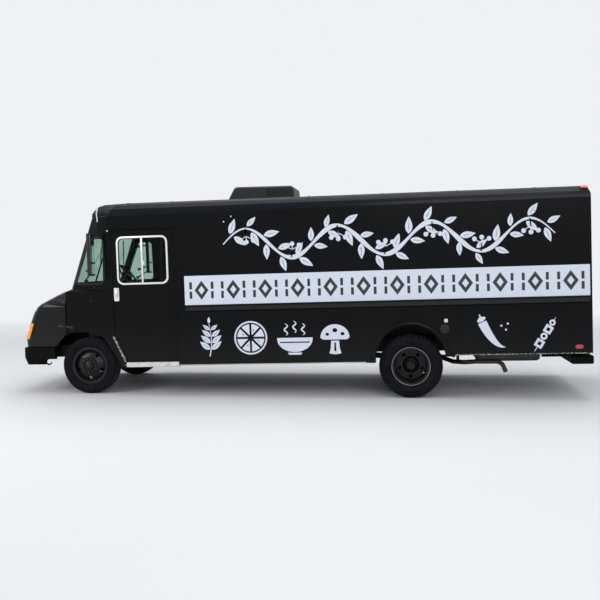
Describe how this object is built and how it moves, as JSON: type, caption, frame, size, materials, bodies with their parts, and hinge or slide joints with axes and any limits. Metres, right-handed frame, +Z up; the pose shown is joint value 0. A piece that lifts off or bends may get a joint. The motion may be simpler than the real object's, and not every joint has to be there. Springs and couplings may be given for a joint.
{
  "type": "food truck, a walk-in step van with a sliding-door cab and a serving hatch",
  "caption": "Black walk-in step van fitted out as a food truck: tall box body, sliding cab doors, tilting nose, twin rear wheels, rear doors, side serving hatch and fold-down shelf.",
  "frame": {"origin": "on the ground at the middle of the whole truck's bounding box", "axes": "+X forward, +Y to the driver's (left) side, +Z up"},
  "size_m": [8.0248, 2.7, 2.9656],
  "materials": {
    "black_paint": "glossy black enamel",
    "roof_paint": "weathered black roof skin",
    "chassis_paint": "dull black chassis paint",
    "black_plastic": "matt black",
    "steel": "brushed stainless steel",
    "aluminium": "bare aluminium",
    "cast_iron": "cast iron and forged steel, weathered",
    "glass": "green-tinted safety glass",
    "tyre": "black rubber",
    "interior": "light grey interior paint",
    "seat_vinyl": "black vinyl"
  },
  "bodies": {
    "root": {"chassis_frame": "chassis_paint", "engine_block": "cast_iron", "driveshaft": "chassis_paint", "exhaust": "steel", "fuel_tank": "steel", "front_axle": "cast_iron", "rear_axle": "cast_iron", "floor": "aluminium", "left_wall": "black_paint", "right_wall": "black_paint", "roof": "roof_paint", "cab_shell": "black_paint", "cab_floor": "interior", "windscreen": "glass", "quarter_glass_left": "glass", "quarter_glass_right": "glass", "front_bumper": "black_plastic", "rear_frame": "black_paint", "rear_bumper": "chassis_paint", "roof_ac_unit": "black_plastic", "dashboard": "black_plastic", "driver_seat": "seat_vinyl", "serving_counter": "steel", "galley_bench": "steel", "mirror_left": "black_plastic", "mirror_right": "black_plastic"},
    "steer_left": {"knuckle_left": "cast_iron"},
    "steer_right": {"knuckle_right": "cast_iron"},
    "tie_rod": {"tie_rod": "chassis_paint"},
    "wheel_front_left": {"front_rim_left": "black_paint", "front_tyre_left": "tyre"},
    "wheel_front_right": {"front_rim_right": "black_paint", "front_tyre_right": "tyre"},
    "wheel_rear_left": {"rear_rims_left": "black_paint", "rear_tyre_left_outer": "tyre", "rear_tyre_left_inner": "tyre"},
    "wheel_rear_right": {"rear_rims_right": "black_paint", "rear_tyre_right_outer": "tyre", "rear_tyre_right_inner": "tyre"},
    "hood": {"hood": "black_paint", "grille": "black_plastic"},
    "driver_door": {"driver_door": "black_paint", "driver_door_glass": "glass"},
    "passenger_door": {"passenger_door": "black_paint", "passenger_door_glass": "glass"},
    "rear_door_left": {"rear_door_left": "black_paint", "rear_glass_left": "glass"},
    "rear_door_right": {"rear_door_right": "black_paint", "rear_glass_right": "glass"},
    "serving_hatch": {"serving_hatch": "black_paint"},
    "serving_shelf": {"serving_shelf": "steel"}
  },
  "joints": [
    {"name": "steer_left", "type": "hinge", "parent": "root", "child": "steer_left", "pos_m": [2.91992, 0.8, 0.4045], "axis": [0, 0, 1], "range_deg": [-32, 32]},
    {"name": "steer_right", "type": "hinge", "parent": "root", "child": "steer_right", "pos_m": [2.91992, -0.8, 0.4045], "axis": [0, 0, 1], "range_deg": [-32, 32]},
    {"name": "tie_rod_slide", "type": "slide", "parent": "root", "child": "tie_rod", "axis": [0, 1, 0], "range_m": [-0.095, 0.095]},
    {"name": "spin_front_left", "type": "hinge", "parent": "steer_left", "child": "wheel_front_left", "pos_m": [2.91992, 0.945, 0.4045], "axis": [0, 1, 0], "continuous": true},
    {"name": "spin_front_right", "type": "hinge", "parent": "steer_right", "child": "wheel_front_right", "pos_m": [2.91992, -0.945, 0.4045], "axis": [0, 1, 0], "continuous": true},
    {"name": "spin_rear_left", "type": "hinge", "parent": "root", "child": "wheel_rear_left", "pos_m": [-1.64108, 1.045, 0.4287], "axis": [0, 1, 0], "continuous": true},
    {"name": "spin_rear_right", "type": "hinge", "parent": "root", "child": "wheel_rear_right", "pos_m": [-1.64108, -1.045, 0.4287], "axis": [0, 1, 0], "continuous": true},
    {"name": "hood_tilt", "type": "hinge", "parent": "root", "child": "hood", "pos_m": [3.9749, 0, 0.68095], "axis": [0, 1, 0], "range_deg": [0, 55]},
    {"name": "driver_door_slide", "type": "slide", "parent": "root", "child": "driver_door", "axis": [-0.9998, 0, 0.0193], "range_m": [0, 0.78]},
    {"name": "passenger_door_slide", "type": "slide", "parent": "root", "child": "passenger_door", "axis": [-0.9998, 0, 0.0193], "range_m": [0, 0.78]},
    {"name": "rear_door_left_swing", "type": "hinge", "parent": "root", "child": "rear_door_left", "pos_m": [-3.99381, 0.757, 0.92809], "axis": [-0.0193, 0, -0.9998], "range_deg": [0, 170]},
    {"name": "rear_door_right_swing", "type": "hinge", "parent": "root", "child": "rear_door_right", "pos_m": [-3.99381, -0.757, 0.92809], "axis": [0.0193, 0, 0.9998], "range_deg": [0, 170]},
    {"name": "serving_hatch_lift", "type": "hinge", "parent": "root", "child": "serving_hatch", "pos_m": [-0.42746, -1.216, 2.25637], "axis": [-0.9998, 0, 0.0193], "range_deg": [0, 90]},
    {"name": "serving_shelf_fold", "type": "hinge", "parent": "root", "child": "serving_shelf", "pos_m": [-0.44505, -1.248, 1.34654], "axis": [-0.9998, 0, 0.0193], "range_deg": [0, 90]}
  ],
  "couplings": [
    {"joint": "steer_right", "follows": "steer_left", "ratio": 1},
    {"joint": "tie_rod_slide", "follows": "steer_left", "m_per_rad": -0.161}
  ]
}
